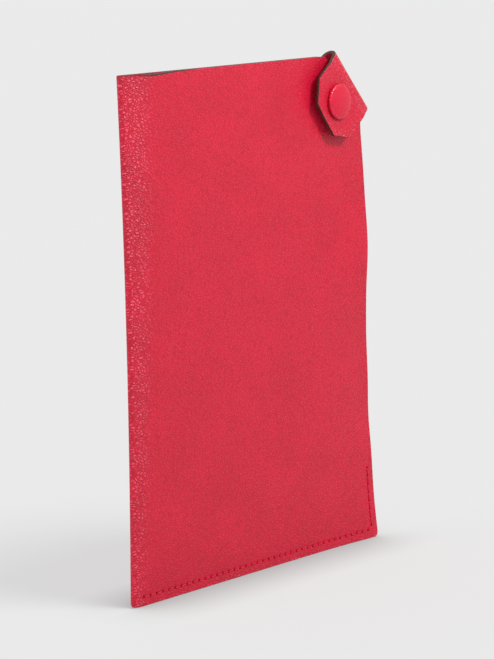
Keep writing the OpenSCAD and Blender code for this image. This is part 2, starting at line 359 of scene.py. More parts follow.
def drawn_in(path):
    """The leather's own edge, under the paint."""
    return path - outward(path) * PAINT_T


def case_edge():
    """The case's free edge, from the strap's root down the back, along the foot and over the
    front to the strap's root again, in flat coordinates."""
    root_lower, root_upper = (fold_point(0, strap_side(-QUARTER, k)) for k in (-1, 1))
    skewed = ACROSS_FOLD * math.cos(FOLD_TURN) + ALONG_FOLD * math.sin(FOLD_TURN)
    meets_side = root_lower - skewed * (root_lower[0] - FREE_X) / skewed[0]
    meets_mouth = root_upper - skewed * (root_upper[1] - CASE_H) / skewed[1]
    back = [(*root_lower, 0), (*meets_side, ROOT_R), (FREE_X, 0, FOOT_CORNER_R), (0, 0, 0)]
    lower = fold_point(-CUT_BACK, 0)
    to_side = lower + ALONG_FOLD * (FREE_X - lower[0]) / ALONG_FOLD[0]
    to_mouth = lower + ALONG_FOLD * (CASE_H - lower[1]) / ALONG_FOLD[1]
    front = [(0, 0, 0), (FREE_X, 0, FOOT_CORNER_R), (*to_side, CUT_R[0]),
             (*to_mouth, CUT_R[1]), (0, CASE_H, 0)]
    over = [(0, CASE_H, 0), (*meets_mouth, ROOT_R), (*root_upper, 0)]
    to_back, to_front, to_root = (
        [[to_flat(x, y), y] for x, y in stepped(rounded(corners), EDGE_STEP)]
        for to_flat, corners in ((flat_back, back), (flat_front, front), (flat_back, over)))
    foot = [(s, 0) for s in over_spine(to_back[-1][0], to_front[0][0])]
    mouth = [(s, CASE_H - MOUTH_DIP * math.exp(-((s - DIP_AT) / DIP_REACH) ** 2))
             for s in over_spine(to_front[-1][0], to_root[0][0])]
    return np.concatenate([to_back, foot, to_front, mouth, to_root])


NEAR_SPINE = 5  # the edges are divided finely this far from the spine
FINE_STEP = 0.25
COARSE_STEPS = 56


def over_spine(a, b):
    """Values of s between two panels, closer together round the spine."""
    close = np.arange(-NEAR_SPINE, NEAR_SPINE + 0.01, FINE_STEP) * (1 if b > a else -1)
    before, after = (np.linspace(*ends, COARSE_STEPS)[1:-1]
                     for ends in ((a, close[0]), (close[-1], b)))
    return np.concatenate([before, close, after])


TAB_STEP = 0.8
BEND_STEPS = 13


def tab_edge():
    """The tab's free edge in the strap's flat coordinates, from the apex of the bend round the
    six-sided end and back."""
    turn = np.array([[math.cos(FOLD_TURN), math.sin(FOLD_TURN)],
                     [-math.sin(FOLD_TURN), math.cos(FOLD_TURN)]])
    shoulder, half = TAB_LEN - TAB_CUT, STRAP_W / 2
    ends = [(shoulder, half), (TAB_LEN, half - TAB_CUT), (TAB_LEN, TAB_CUT - half),
            (shoulder, -half)]
    shift = QUARTER - BEND_R - HALF_WALL
    corners = []
    for length, side in ends:
        across, along = turn @ [-length, side]
        corners.append((shift - across, along, TAB_CORNER_R))
    sides = [(p, strap_side(p, k), 0) for p, k in ((0, 1), (QUARTER, 1), (QUARTER, -1), (0, -1))]
    return stepped(rounded(sides[:2] + corners + sides[2:]), TAB_STEP)


def bend_edge(side):
    """One long edge of the rear half of the bend, anticlockwise."""
    ends = (-QUARTER, 0) if side < 0 else (0, -QUARTER)
    return np.array([[p, strap_side(p, side)] for p in np.linspace(*ends, BEND_STEPS)])


# ==================== flat meshes
def ring(centre, r, count):
    turns = np.arange(count) / count * 2 * np.pi
    return np.array(centre) + r * np.stack([np.cos(turns), np.sin(turns)], axis=-1)


def distance(points, path):
    """The distance of each point from a path."""
    points, best = np.asarray(points, float), np.full(len(points), 1e9)
    for a, b in zip(path, path[1:]):
        line = b - a
        t = np.clip((points - a) @ line / max(line @ line, 1e-12), 0, 1)
        best = np.minimum(best, np.linalg.norm(points - a - t[:, None] * line, axis=1))
    return best


def inside(points, loop):
    x, y = points[:, 0], points[:, 1]
    odd = np.zeros(len(points), bool)
    for (x0, y0), (x1, y1) in zip(loop, np.roll(loop, -1, axis=0)):
        crosses = (y0 > y) != (y1 > y)
        if y0 != y1:
            odd ^= crosses & (x < (x1 - x0) * (y - y0) / (y1 - y0) + x0)
    return odd


def outward(path):
    """The unit direction out of an anticlockwise path at each of its points."""
    along = np.gradient(path, axis=0)
    along /= np.linalg.norm(along, axis=1)[:, None]
    return np.stack([along[:, 1], -along[:, 0]], axis=-1)


EDGE_DEPTHS = (0.04, 0.14, 0.35, 0.9, 1.6)  # where the mesh follows a free edge's rounding
OWN_DEPTH = 0.93  # the share of its depth that a point keeps off any edge
GRID_MARGIN = 1.9  # how far the grid keeps off the boundary
EXTRA_MARGIN = 0.02
HOLE_MARGIN = 1.25  # and how far off a hole, in radii of the hole
WITHIN_HOLE = 0.98  # a triangle with its middle inside this many radii fills the hole
LEAST_HEIGHT = 1e-4  # a triangle flatter than this is none


def flat_mesh(loop, edges, holes, grid, extra=()):
    """A triangulated flat shape. loop is its anticlockwise boundary, edges the free paths
    along it, holes (centre, radius, count), grid the points that fill it and extra further
    sets of points to follow."""
    loops = [loop] + [ring(*h) for h in holes]
    keep = []
    for edge in edges:
        for depth in EDGE_DEPTHS:
            line = edge - outward(edge) * depth
            far = np.min([distance(line, e) for e in edges], axis=0)
            keep.append(line[(far > depth * OWN_DEPTH) & inside(line, loop)])
    for points, margin in [(grid, GRID_MARGIN)] + [(e, EXTRA_MARGIN) for e in extra]:
        far = np.min([distance(points, e) for e in [*edges, loop]], axis=0)
        ok = (far > margin) & inside(points, loop)
        for centre, r, _ in holes:
            ok &= np.linalg.norm(points - centre, axis=1) > r * HOLE_MARGIN
        keep.append(points[ok])
    fixed, count = [], 0
    for one in loops:
        fixed += [(count + i, count + (i + 1) % len(one)) for i in range(len(one))]
        count += len(one)
    points = np.concatenate(loops + keep)
    points, _, faces = delaunay_2d_cdt(
        [Vector(p) for p in points], fixed, [], 1, 1e-6, False)[:3]
    points, faces = np.array(points), np.array(faces)
    corners = points[faces]
    centres = corners.mean(axis=1)
    sides = corners[:, [1, 2, 0]] - corners
    turned = sides[:, 0, 0] * sides[:, 1, 1] - sides[:, 0, 1] * sides[:, 1, 0]
    height = np.abs(turned) / np.linalg.norm(sides, axis=2).max(axis=1)
    # The hull's empty slivers along a straight side are left out
    ok = (height > LEAST_HEIGHT) & inside(centres, loop)
    for centre, r, _ in holes:
        ok &= np.linalg.norm(centres - centre, axis=1) > r * WITHIN_HOLE
    return points, faces[ok]


def place(name, data):
    made = bpy.data.objects.new(name, data)
    bpy.context.scene.collection.objects.link(made)
    return made


def new_object(name, points, faces, material, flat=None, wear_and_sheen=None, sharp=35):
    """A mesh object in metres with smooth faces, its flat coordinates and its wear, which also
    marks where the leather's crowns carry a painted highlight.
    """
    mesh = bpy.data.meshes.new(name)
    mesh.from_pydata(np.asarray(points).tolist(), [], [list(map(int, f)) for f in faces])
    mesh.validate()
    solid = bmesh.new()
    solid.from_mesh(mesh)
    if solid.calc_volume(signed=True) < 0:
        mesh.flip_normals()
    solid.free()
    mesh.shade_smooth()
    mesh.set_sharp_from_angle(angle=math.radians(sharp))
    if flat is not None:
        layer = mesh.uv_layers.new(name="flat")
        corner = np.empty(len(mesh.loops), int)
        mesh.loops.foreach_get("vertex_index", corner)
        layer.data.foreach_set("uv", (np.asarray(flat)[corner] * MM).astype(np.float32).ravel())
    worn_and_lit = mesh.attributes.new("wear_and_sheen", "FLOAT", "POINT")
    worn_and_lit.data.foreach_set("value", np.zeros(len(points), np.float32) if wear_and_sheen is None
                          else np.asarray(wear_and_sheen, np.float32))
    mesh.materials.append(material)
    return place(name, mesh)


def thick_sheet(name, flat, faces, top, bottom, wrap, material, wear_and_sheen=None, shift=(0, 0)):
    """A closed sheet from a flat mesh. top and bottom are the w of its two faces. shift moves
    its flat coordinates, so that no two pieces share a stretch of texture."""
    points = np.concatenate([wrap(flat[:, 0], flat[:, 1], w) for w in (top, bottom)])
    n = len(flat)
    sides = np.concatenate([faces[:, [0, 1]], faces[:, [1, 2]], faces[:, [2, 0]]])
    keys = {(a, b) for a, b in sides.tolist()}
    rim = sorted((a, b) for a, b in keys if (b, a) not in keys)
    walls = [(a, a + n, b + n, b) for a, b in rim]
    every = faces.tolist() + (faces[:, ::-1] + n).tolist() + walls
    wear_and_sheen = None if wear_and_sheen is None else np.concatenate([wear_and_sheen, wear_and_sheen])
    return new_object(name, points, every, material, np.concatenate([flat, flat]) + shift, wear_and_sheen)


def tube_faces(rings, sides, first=0):
    """The faces of a closed tube whose points come ring by ring, from the point first on."""
    faces = []
    for a in range(first, first + (rings - 1) * sides, sides):
        faces += [(a + k, a + (k + 1) % sides, a + sides + (k + 1) % sides, a + sides + k)
                  for k in range(sides)]
    last = first + (rings - 1) * sides
    return faces + [tuple(range(first, first + sides))[::-1], tuple(range(last, last + sides))]


def run_along(path):
    """How far along a path each of its points is."""
    return np.concatenate([[0], np.cumsum(np.linalg.norm(np.diff(path, axis=0), axis=1))])


# ==================== materials
class Shader:
    """Builds one material's nodes."""

    def __init__(self, name):
        self.material = bpy.data.materials.new(name)
        self.material.use_nodes = True
        self.tree = self.material.node_tree
        self.surface = self.tree.nodes["Principled BSDF"]

    def add(self, kind, inputs=None, out=0, **settings):
        node = self.tree.nodes.new("ShaderNode" + kind)
        for key, value in settings.items():
            setattr(node, key, value)
        for key, value in (inputs or {}).items():
            self.put(node.inputs[key], value)
        return node.outputs[out]

    def put(self, socket, value):
        if isinstance(value, bpy.types.NodeSocket):
            self.tree.links.new(value, socket)
        else:
            socket.default_value = value

    def finish(self, **sockets):
        for name, value in sockets.items():
            self.put(self.surface.inputs[name.replace("_", " ")], value)
        return self.material

    def varied(self, by, colours, rough, height, distance, **sockets):
        """Finishes with a colour and a roughness that vary by a noise, and a fine relief."""
        return self.finish(Base_Color=self.mix(self.remap(by, 0.3, 0.7), *colours),
                           Roughness=self.remap(by, 0.3, 0.7, *rough),
                           Normal=self.bump(height, distance * MM), **sockets)

    def math(self, operation, a, b):
        return self.add("Math", {0: a, 1: b}, operation=operation)

    def total(self, first, *others):
        """The sum of (value, weight) pairs."""
        made = self.math("MULTIPLY", *first)
        for other in others:
            made = self.math("ADD", made, self.math("MULTIPLY", *other))
        return made

    def remap(self, value, low, high, to_low=0.0, to_high=1.0, curve="LINEAR"):
        return self.add("MapRange", {"Value": value, "From Min": low, "From Max": high,
                                     "To Min": to_low, "To Max": to_high},
                        interpolation_type=curve)

    def mix(self, amount, a, b):
        return self.add("Mix", {0: amount, 6: a, 7: b}, out=2, data_type="RGBA")

    def noise(self, where, scale, detail=2.0, distortion=0.0):
        return self.add("TexNoise", {"Vector": where, "Scale": scale, "Detail": detail,
                                     "Distortion": distortion})

    def cells(self, where, scale):
        """The distance from the edges of small cells, which rises towards their middles."""
        return self.add("TexVoronoi", {"Vector": where, "Scale": scale},
                        feature="DISTANCE_TO_EDGE")

    def stretched(self, where, size, turn=0.0):
        """Coordinates that make features longer by size, along axes turned by an angle."""
        return self.add("Mapping", {"Vector": where, "Scale": size,
                                    "Rotation": (0, 0, math.radians(turn))},
                        vector_type="TEXTURE")

    def bump(self, height, distance):
        return self.add("Bump", {"Height": height, "Distance": distance, "Strength": 1.0})


def srgb(r, g, b):
    """A shader's colour from 8-bit values."""
    def linear(c):
        c /= 255
        return c / 12.92 if c <= 0.04045 else ((c + 0.055) / 1.055) ** 2.4
    return (linear(r), linear(g), linear(b), 1)


SWAY = 0.0011  # how far the pebbles' rows sway, in metres
WORN_HEIGHT = 3.1  # how much higher the grain stands where it is worn


def grained_leather(name, colour, deep, worn_and_lit, grain=1.0, depth=0.14, rough=0.36, shine=0.33):
    """Goat leather's small wrinkled pebbles, which stand out more where it is creased and
    worn. Their valleys are painted darker, a painted shade, and their crowns paler where they
    are worn, from wear and a painted highlight. grain is a pebble's size and depth its height,
    in mm."""
    m = Shader(name)
    flat = m.add("UVMap", uv_map="flat")
    wear_and_sheen = m.add("Attribute", out=2, attribute_name="wear_and_sheen")
    sway = m.add("VectorMath", {0: m.add("TexNoise", {"Vector": flat, "Scale": 300.0}, out=1),
                                1: (-0.5, -0.5, -0.5)}, operation="ADD")
    warped = m.add("VectorMath", {0: sway, 1: (SWAY,) * 3, 2: flat}, operation="MULTIPLY_ADD")
    rows = m.stretched(warped, (1.3, 0.9, 1), turn=8)
    pebbles = m.remap(m.cells(rows, 1 / (grain * MM)), 0.0, 0.42, curve="SMOOTHSTEP")
    small = m.remap(m.cells(rows, 2.3 / (grain * MM)), 0.0, 0.35, curve="SMOOTHSTEP")
    creases = m.noise(m.stretched(warped, (1, 3.2, 1), turn=38), 1150.0, 3.0, 0.6)
    pores = m.noise(flat, 5200.0, 3.0)
    patch = m.noise(flat, 55.0, 3.0)
    blotch = m.noise(flat, 420.0, 2.0)

    relief = m.total((pebbles, 0.7), (small, 0.13), (creases, 0.45), (pores, 0.06))
    height = m.math("MULTIPLY", relief, m.remap(patch, 0.3, 0.7, 0.7, 1.15))
    height = m.math("MULTIPLY", height, m.remap(wear_and_sheen, 0.0, 1.0, 1.0, WORN_HEIGHT))

    # The valleys are deeper in colour, a painted shade, and the crowns paler where worn, also a
    # painted highlight
    tone = m.mix(m.remap(patch, 0.3, 0.7, 0.0, 0.35), colour, deep)
    tone = m.mix(m.remap(relief, 0.5, 0.25, 0.0, 0.75), tone, deep)
    tone = m.mix(m.math("MULTIPLY", wear_and_sheen, m.remap(relief, 0.5, 0.9, 0.0, 0.75)), tone, worn_and_lit)
    gloss = m.remap(relief, 0.2, 1.0, rough + 0.12, rough - 0.09)
    gloss = m.math("ADD", gloss, m.remap(blotch, 0.3, 0.7, -0.03, 0.04))
    gloss = m.math("SUBTRACT", gloss, m.remap(wear_and_sheen, 0.3, 1.0, 0.0, 0.05))
    return m.finish(Base_Color=tone, Roughness=gloss, Normal=m.bump(height, depth * MM),
                    Specular_IOR_Level=shine)


def edge_paint():
    """Dark edge paint, built up in thin coats that keep a faint drag."""
    m = Shader("edge_paint")
    flat = m.add("UVMap", uv_map="flat")
    drag = m.noise(m.stretched(flat, (1, 4, 1)), 1600.0, 3.0)
    specks = m.noise(flat, 5200.0, 2.0)
    return m.varied(drag, (srgb(48, 30, 25), srgb(74, 52, 42)), (0.42, 0.58),
                    m.total((drag, 1.0), (specks, 0.4)), 0.03, Specular_IOR_Level=0.4)


def waxed_thread():
    """Waxed polyester thread in the leather's own red."""
    m = Shader("waxed_thread")
    flat = m.add("UVMap", uv_map="flat")
    fibres = m.noise(m.stretched(flat, (5, 1, 1)), 9000.0, 2.0)
    return m.varied(fibres, (srgb(186, 8, 42), srgb(222, 24, 64)), (0.38, 0.52), fibres, 0.02,
                    Specular_IOR_Level=0.2)


def plated_nickel():
    """Nickel plate with turning marks and light handling scratches."""
    m = Shader("plated_nickel")
    where = m.add("TexCoord", out=3)
    marks = m.noise(m.stretched(where, (6, 1, 6)), 15000.0, 3.0)
    haze = m.noise(where, 500.0, 3.0)
    return m.varied(haze, (srgb(196, 192, 184), srgb(222, 219, 212)), (0.2, 0.36), marks, 0.006,
                    Metallic=1.0)


def pressed_fibre():
    """The bonded fibre board of the stiffening discs."""
    m = Shader("pressed_fibre")
    where = m.add("TexCoord", out=3)
    fibres = m.noise(m.stretched(where, (1, 1, 3)), 2400.0, 4.0, 1.0)
    return m.varied(fibres, (srgb(150, 112, 82), srgb(182, 146, 112)), (0.75, 0.9), fibres, 0.03)


# Its third colour, the pale pink of the worn crowns, is also a painted highlight on the grain
LEATHER = grained_leather("goat_leather", srgb(204, 14, 52), srgb(168, 2, 32),
                          srgb(242, 84, 112))
# The leather over the cap is drawn tight, so its grain is pulled flat
TIGHT_LEATHER = grained_leather("tight_goat_leather", srgb(204, 17, 54), srgb(182, 6, 40),
                                srgb(220, 50, 82), depth=0.04, rough=0.3)
LINING = grained_leather("lining_leather", srgb(178, 38, 58), srgb(142, 18, 38),
                         srgb(194, 66, 80), grain=0.5, depth=0.035, rough=0.6, shine=0.3)
PAINT = edge_paint()
THREAD = waxed_thread()
NICKEL = plated_nickel()
FIBRE = pressed_fibre()


# ==================== the sewn row
def needle_holes():
    """The needle holes' x and y: along the foot, across the corner and up the free side."""
    first, last = -FREE_X + SEAM_START, FREE_X - SEAM_IN - SEAM_TURN[0]
    pitch = (last - first) / STITCHES_FOOT
    foot = [(first + i * pitch, SEAM_IN) for i in range(STITCHES_FOOT + 1)]
    return foot + [(last + SEAM_TURN[0], SEAM_IN + SEAM_TURN[1] + i * pitch)
                   for i in range(STITCHES_SIDE + 1)]


# The needle holes in flat coordinates, on the front and on the back
SEAMS = [np.array([[to_flat(x, y), y] for x, y in needle_holes()])
         for to_flat in (flat_front, flat_back)]
GROOVE = 0.03  # depth of the line that the stitches press in
GROOVE_REACH = 0.6
GROOVE_LINES = (-1.1, -0.7, -0.35, 0, 0.35, 0.7, 1.1)  # where the mesh follows it
PUCKER = 0.18  # how far a hole's rim is drawn in
PUCKER_REACH = 1.5 * NEEDLE_R
PUCKER_RING = 1.6 * NEEDLE_R
SEAM_NEAR = 4  # past this the seam draws nothing in


def seam_points():
    """Mesh points that follow the pressed line and the holes' rims."""
    made = []
    for row in SEAMS:
        line = stepped(list(row), 0.5)
        side = outward(line)
        made += [line + side * off for off in GROOVE_LINES]
        made += [ring(hole, PUCKER_RING, HOLE_SIDES) for hole in row]
    return np.concatenate(made)


def seam_relief(flat):
    """How far the seam draws the outer face in at each flat point."""
    drawn = np.zeros(len(flat))
    for row in SEAMS:
        low, high = row.min(axis=0) - SEAM_NEAR, row.max(axis=0) + SEAM_NEAR
        near = np.where(np.all((flat > low) & (flat < high), axis=1))[0]
        off = distance(flat[near], row)
        holes = np.min([np.linalg.norm(flat[near] - hole, axis=1) for hole in row], axis=0)
        drawn[near] += GROOVE * np.exp(-((off / GROOVE_REACH) ** 2))
        drawn[near] += PUCKER * np.exp(-((holes / PUCKER_REACH) ** 2))
    return drawn


# ==================== free edges
EDGE_ROUND = 0.06  # how far the faces round off at a free edge
EDGE_REACH = 0.14
# The paint's cross-section: how far it stands out of the edge, and w
BEAD = [(-0.15, 0.42), (-0.05, 0.5), (0, 0.53), (0.04, 0.49), (0.065, 0.3), (PAINT_T, 0),
        (0.065, -0.3), (0.04, -0.49), (0, -0.53), (-0.05, -0.5), (-0.15, -0.42)]
LIP = 2  # its first points, which the lap pulls in over the face
SHOULDER = 4  # and those which the lap raises
LAP = 0.45  # how far it runs over the front's rim at the mouth
LAP_AT = -16  # at this s, beside the spine
LAP_REACH = 13
LAP_RISE = 0.12  # how far the lap lies above the bead's own lip


def edge_drop(off):
    """How far a sheet's face has rounded off at a distance from its free edge."""
    t = np.clip(1 - off / EDGE_REACH, 0, 1)
    return EDGE_ROUND * (1 - np.sqrt(1 - t * t))


def edge_bead(name, path, wrap, lap=0.0):
    """A domed line of edge paint along an open path. lap is how far it runs over the face."""
    out, lap = outward(path), np.broadcast_to(lap, len(path))
    rings = []
    for i, (reach, w) in enumerate(BEAD):
        far = lap * (i < LIP)
        rise = np.minimum(lap, LAP_RISE) * (i < SHOULDER)
        rings.append(wrap(*(path + out * (reach - far)[:, None]).T, w + rise))
    points = np.stack(rings, axis=1).reshape(-1, 3)
    flat = np.array([(reach + w, at) for at in run_along(path) for reach, w in BEAD])
    return new_object(name, points, tube_faces(len(path), len(BEAD)), PAINT, flat, sharp=60)


# ==================== the case's sheets
GRID = 2.6  # the mesh's spacing over the panels
# The s of the mesh's columns, closer together where the leather bends
COLUMNS = np.concatenate([
    np.arange(-124, -26, GRID), np.arange(-24, -9, 1.3), np.arange(-8.5, -HALF_ROLL, 0.6),
    np.linspace(-HALF_ROLL, HALF_ROLL, 17), np.arange(HALF_ROLL + 0.6, 6, 0.8),
    np.arange(8, 124, GRID)])
# The band along the spine, at the foot and at the mouth, which is rubbed and also painted pale
# as a highlight
RUB_SHEEN_AT = (-1, -3.5)  # the s of its middle
RUB_SHEEN_HALF = (2, 3.5)  # half its width, rubbed and painted evenly
RUB_SHEEN_FADE = (2, 4.5)  # how far past that it fades
RUB_SHEEN = (0.62, 1)  # how strongly it is rubbed and painted pale
EDGE_WEAR = (0.7, 0.6)  # how worn a free edge is, and how far in that fades


def snap_rims(snap):
    """Mesh points that follow the post's hole and the disc's recess."""
    return [ring(snap, r, 48) for r in (POST_HOLE_R * 1.4, DISC_R, DISC_R + 0.05)]


def disc_recess(flat, snap):
    """How deep the disc's recess in the lining is at each flat point."""
    return np.where(np.linalg.norm(flat - snap, axis=1) < DISC_R + 0.02, DISC_T, 0)


def case_pieces():
    """The hide and the lining, each one sheet from the front round the spine to the back."""
    edge = drawn_in(case_edge()[::-1])
    cut = [[flat_back(*fold_point(0, q)), fold_point(0, q)[1]] for _, q in cut_line(-QUARTER)]
    loop = np.concatenate([edge, np.array(cut)[1:-1]])
    snap = np.array([flat_front(*SNAP), SNAP[1]])
    holes = [(hole, NEEDLE_R, HOLE_SIDES) for row in SEAMS for hole in row]
    holes.append((snap, POST_HOLE_R, POST_SIDES))
    grid = np.array([(s, y) for y in np.arange(0.9, CASE_H, GRID) for s in COLUMNS])
    flat, faces = flat_mesh(loop, [edge], holes, grid, [seam_points(), *snap_rims(snap)])
    off = distance(flat, edge)
    drop = edge_drop(off)
    up = flat[:, 1] / CASE_H
    # The band along the spine: rubbed, and a painted highlight on the grain's crowns
    past = np.abs(flat[:, 0] - rising(RUB_SHEEN_AT, up)) - rising(RUB_SHEEN_HALF, up)
    rubbed_and_sheen = rising(RUB_SHEEN, up) * np.exp(-(np.maximum(past, 0) / rising(RUB_SHEEN_FADE, up)) ** 2)
    wear_and_sheen = np.clip(rubbed_and_sheen + EDGE_WEAR[0] * np.exp(-off / EDGE_WEAR[1]), 0, 1)
    glue = np.full(len(flat), GLUE_W)

    hide = thick_sheet("case_hide", flat, faces, HALF_WALL - drop - seam_relief(flat), glue,
                       wrap_case, LEATHER, wear_and_sheen)
    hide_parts("front_panel", "spine_fold", "back_panel")
    lining = thick_sheet("case_lining", flat, faces, glue - disc_recess(flat, snap),
                         drop - HALF_WALL, wrap_case, LINING, shift=(300, 0))
    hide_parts("front_lining", "spine_lining", "back_lining")
    at_mouth = (edge[:, 1] > CASE_H - 2) & (edge[:, 0] < 0)
    lap = LAP * np.exp(-((edge[:, 0] - LAP_AT) / LAP_REACH) ** 2) * at_mouth
    bead = edge_bead("case_edge_paint", edge, wrap_case, lap)
    for piece, slot in ((hide, "outer_leather"), (lining, "lining_leather"),
                        (bead, "painted_edge")):
        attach(piece, "case")


# ==================== the strap
STRAP_GRID = 1.1  # the mesh's spacing over the strap
BEND_GRID = 0.3  # and along its bend
STRAP_EDGE_WEAR = (0.75, 0.7)  # as for the case: how worn, and how far in that fades
BEND_WEAR = (0.7, 5)  # how worn the bend is, and how far along that fades


def strap_grid(low, high, step):
    sides = np.arange(-STRAP_W / 2, STRAP_W / 2, STRAP_GRID)
    return np.array([(p, q) for p in np.arange(low, high, step) for q in sides])


def strap_half(part, loop, edges, holes, grid, extra=()):
    """Leather, lining and edge paint of one half of the strap."""
    flat, faces = flat_mesh(loop, edges, holes, grid, extra)
    off = np.min([distance(flat, e) for e in edges], axis=0)
    drop = edge_drop(off)
    wear_and_sheen = STRAP_EDGE_WEAR[0] * np.exp(-off / STRAP_EDGE_WEAR[1])
    wear_and_sheen = np.clip(wear_and_sheen + BEND_WEAR[0] * np.exp(-((flat[:, 0] / BEND_WEAR[1]) ** 2)), 0, 1)
    glue = np.full(len(flat), GLUE_W)
    hide = thick_sheet(f"strap_hide_{part}", flat, faces, HALF_WALL - drop, glue, wrap_strap,
                       LEATHER, wear_and_sheen, shift=(150, 100))
    lining = thick_sheet(f"strap_lining_{part}", flat, faces,
                         glue - disc_recess(flat, SNAP_FLAT), drop - HALF_WALL, wrap_strap,
                         LINING, shift=(450, 100))
    beads = [edge_bead(f"strap_edge_paint_{part}{i or ''}", e, wrap_strap)
             for i, e in enumerate(edges)]
    pieces = [(hide, "outer_leather"), (lining, "lining_leather")]
    for piece, slot in pieces + [(bead, "painted_edge") for bead in beads]:
        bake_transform(piece)
    return hide, lining


def strap_pieces():
    """The strap, which is cut in two at the apex of its bend."""
    root, apex = cut_line(-QUARTER), cut_line(0)

    upper, lower = drawn_in(bend_edge(1)), drawn_in(bend_edge(-1))
    loop = np.concatenate([lower, apex[1:-1], upper, root[::-1][1:-1]])
    grid = strap_grid(-QUARTER + BEND_GRID, -0.1, BEND_GRID)
    rear, _ = strap_half("rear", loop, [lower, upper], [],
                         grid)
    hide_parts("strap_bend")

    edge = drawn_in(tab_edge()[::-1])
    loop = np.concatenate([edge, apex[::-1][1:-1]])
    grid = np.concatenate([strap_grid(BEND_GRID, QUARTER, BEND_GRID),
                           strap_grid(QUARTER + 0.4, QUARTER + TAB_LEN, STRAP_GRID)])
    post = (SNAP_FLAT, POST_HOLE_R, POST_SIDES)
    hide, lining = strap_half("front", loop, [edge], [post],
                              grid, snap_rims(SNAP_FLAT))
    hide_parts("strap_tab")
    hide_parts("tab_lining")


# ==================== the card pocket
NOTCH_R = 9
POCKET_FOOT_R = 2
POCKET_TOP_R = 1.5
POCKET_STEP = 1.5
POCKET_GRID = 3


def card_pocket():
    """The slip pocket on the back lining, with its thumb notch."""
    low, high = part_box("card_pocket")
    left, right = (c.x / MM - ORIGIN_X for c in (low, high))
    foot, top = low.z / MM, high.z / MM
    middle_x = (left + right) / 2
    notch = [(middle_x + NOTCH_R * math.cos(a), top - NOTCH_R * math.sin(a), 0)
             for a in np.linspace(0, math.pi, 25)]
    path = rounded([(left, foot, POCKET_FOOT_R), (right, foot, POCKET_FOOT_R),
                    (right, top, POCKET_TOP_R), *notch, (left, top, POCKET_TOP_R)])
    path = stepped(path + [path[0]], POCKET_STEP)
    edge = np.array([[flat_back(x, y), y] for x, y in path])
    grid = np.array([(s, y) for y in np.arange(foot, top, POCKET_GRID)
                     for s in np.arange(0, CASE_W, POCKET_GRID)])
    flat, faces = flat_mesh(edge[:-1], [edge], [], grid)
    inner = -HALF_WALL - (high.y - low.y) / MM
    drop = edge_drop(distance(flat, edge)) / 2
    pocket = thick_sheet("card_pocket_leather", flat, faces, np.full(len(flat), -HALF_WALL),
                         inner + drop, wrap_case, LINING, shift=(600, 0))
    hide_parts("card_pocket")
    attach(pocket, "case")


# ==================== the threads
THREAD_SIDES = 12
THREAD_RINGS = 27
DOUBLED = 2  # the seam's last stitches are sewn twice
DOUBLED_OFF = 0.3  # the second thread lies this far beside the first
TWISTS = 3.2  # turns of the thread's strands along a stitch
STRANDS = 3
STRAND_DEPTH = 0.13  # the grooves between them, as a share of its radius
SLANT = 0.13  # how far a stitch's ends lie off the row
THREAD_LIES = 0.35 * THREAD_R  # how far the thread's middle lies off the pressed line
PLUNGE = 1.05  # how deep it dives into a hole
PLUNGE_REACH = 0.36
FLAT_PITCH = 4  # each stitch has its own stretch of flat coordinates


def stitches(name, row, node):
    """One face's stitches: twisted thread that rises from one hole and dives into the next."""
    points, faces, flat = [], [], []
    spans = [(a, b, 0.0) for a, b in zip(row, row[1:])]
    spans += [(a, b, DOUBLED_OFF) for a, b in zip(row[-DOUBLED - 1:], row[-DOUBLED:])]
    for count, (a, b, aside) in enumerate(spans):
        run = np.linalg.norm(b - a)
        along = (b - a) / run
        across = np.array([-along[1], along[0]])
        u = 0.5 - 0.5 * np.cos(np.linspace(0, np.pi, THREAD_RINGS))
        at = u * run
        plunge = sum(np.exp(-((off / PLUNGE_REACH) ** 2)) for off in (at, run - at))
        w = HALF_WALL - GROOVE + THREAD_LIES - PLUNGE * plunge
        slant = SLANT * np.cos(np.pi * u) + aside * np.sin(np.pi * u)
        centre = a + at[:, None] * along + slant[:, None] * across
        middle_line = wrap_case(centre[:, 0], centre[:, 1], w)
        tangent = np.gradient(middle_line, axis=0)
        tangent /= np.linalg.norm(tangent, axis=1)[:, None]
        ahead = wrap_case(*(centre + across * 0.1).T, w) - middle_line
        normal = np.cross(tangent, ahead)
        normal /= np.linalg.norm(normal, axis=1)[:, None]
        sideways = np.cross(normal, tangent)
        faces += tube_faces(THREAD_RINGS, THREAD_SIDES, len(points))
        for i in range(THREAD_RINGS):
            for k in range(THREAD_SIDES):
                angle = 2 * np.pi * k / THREAD_SIDES
                phase = STRANDS * angle + 2 * np.pi * TWISTS * at[i] / run
                r = THREAD_R * MM * (1 + STRAND_DEPTH * np.cos(phase))
                way = np.cos(angle) * normal[i] + np.sin(angle) * sideways[i]
                points.append(middle_line[i] + way * r)
                flat.append((count * FLAT_PITCH + at[i], angle * THREAD_R))
    made = new_object(name, points, faces, THREAD, flat, sharp=80)
    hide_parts(node)
    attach(made, "case")


# ==================== the snap
CAP_TUCK_R = 5.75  # where the leather turns in under the cap's rim
CAP_BELT = 0.75  # the height at which the cap is widest
CAP_FULLNESS = 2 / 3.4  # a lower power makes its shoulder squarer
CAP_INNER_R = 5.41
CAP_INNER_H = 1.36
CAP_INNER_BRIM = 0.35  # the share of that height that its straight brim takes
HUB_R = 0.02  # both faces end in a small flat at the middle
CAP_TURNS = 128
PLEATS = 17  # small pleats where the leather is tucked in
PLEAT_DEPTH = 0.035
PLEAT_AT = 0.3  # at this height
PLEAT_REACH = 0.35
CAP_TILT = 0.03  # the cap sits this little out of true
CAP_PALE_RING = 0.8  # how strongly a ring on its shoulder is paler, glossier and more grained
CAP_PALE_RING_IN = 0.5  # that ring's width, and how far in it lies
CAP_SHIFT = 800  # of its flat coordinates, as for a sheet


